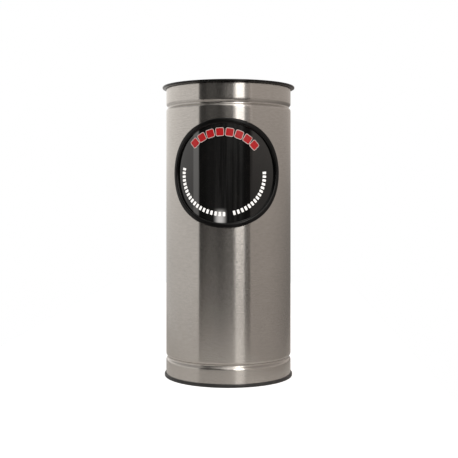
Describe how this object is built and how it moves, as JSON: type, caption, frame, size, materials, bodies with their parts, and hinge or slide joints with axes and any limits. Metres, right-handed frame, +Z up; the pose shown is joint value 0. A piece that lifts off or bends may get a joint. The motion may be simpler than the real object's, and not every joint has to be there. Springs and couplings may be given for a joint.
{
  "type": "fire extinguisher holder",
  "caption": "Free-standing round steel drum with a lift-off lid and an oval smoked window, made to hold a portable fire extinguisher upright.",
  "frame": {"origin": "on the ground, on the drum's axis, at the centre of the base ring's underside", "axes": "+Z up along the drum's axis, -Y towards the side with the window, +X to the right as seen from in front of the window"},
  "size_m": [0.2866, 0.2866, 0.625],
  "materials": {
    "shell_steel": "satin, brushed round the drum",
    "floor_steel": "mill finish",
    "lid_steel": "satin, brushed one way",
    "collar_steel": "mill finish",
    "base_rubber": "satin black",
    "gasket_rubber": "satin black",
    "rim_plastic": "glossy black",
    "smoked_acrylic": "polished, smoked nearly black",
    "red_print": "printed film",
    "white_print": "printed film"
  },
  "bodies": {
    "root": {"body_shell": "shell_steel", "base_ring": "base_rubber", "bottom_plate": "floor_steel", "lid_plate": "lid_steel", "lid_rim": "rim_plastic", "lid_collar": "collar_steel", "window_gasket": "gasket_rubber", "window_pane": "smoked_acrylic", "sign_borders": "white_print", "sign_marks": "red_print", "dashes_left": "white_print", "dashes_right": "white_print"}
  },
  "joints": []
}
